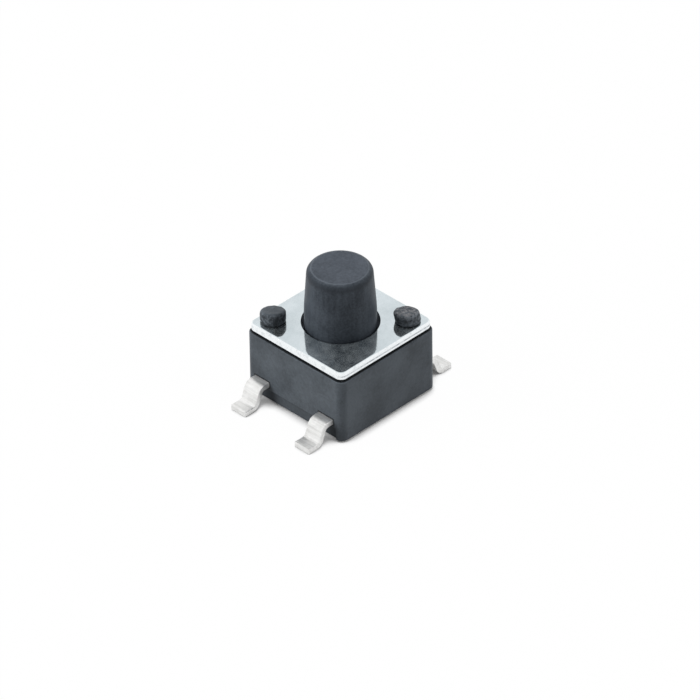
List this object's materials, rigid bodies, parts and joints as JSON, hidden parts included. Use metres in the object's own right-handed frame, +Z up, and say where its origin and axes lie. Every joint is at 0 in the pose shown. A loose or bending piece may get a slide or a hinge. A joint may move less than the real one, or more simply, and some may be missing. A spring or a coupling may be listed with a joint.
{
  "type": "tactile push button switch",
  "caption": "Surface-mount tactile push button switch: square moulded body with gull-wing feet, staked steel cover and a round tapered stem that clicks down on a snap dome.",
  "frame": {"origin": "centre of the square body on the board plane that the four feet stand on", "axes": "+Z up along the plunger, +X along the leads from side to side, +Y along the body's plain side"},
  "size_m": [0.0068, 0.0044, 0.005],
  "materials": {
    "housing_plastic": "moulded satin black plastic",
    "cover_steel": "bright rolled stainless steel",
    "plunger_plastic": "moulded satin black plastic",
    "dome_steel": "sprung stainless steel",
    "terminal_plating": "bright plated brass"
  },
  "bodies": {
    "base": {"housing": "housing_plastic", "cover_plate": "cover_steel", "centre_contact_terminal": "terminal_plating", "dome_contact_terminal": "terminal_plating", "snap_dome": "dome_steel"},
    "button": {"plunger": "plunger_plastic"}
  },
  "joints": [
    {"name": "plunger_press", "type": "slide", "parent": "base", "child": "button", "axis": [0, 0, -1], "range_m": [0, 0.00025], "stiffness_N_per_m": 6400, "deforming": ["snap_dome"]}
  ]
}
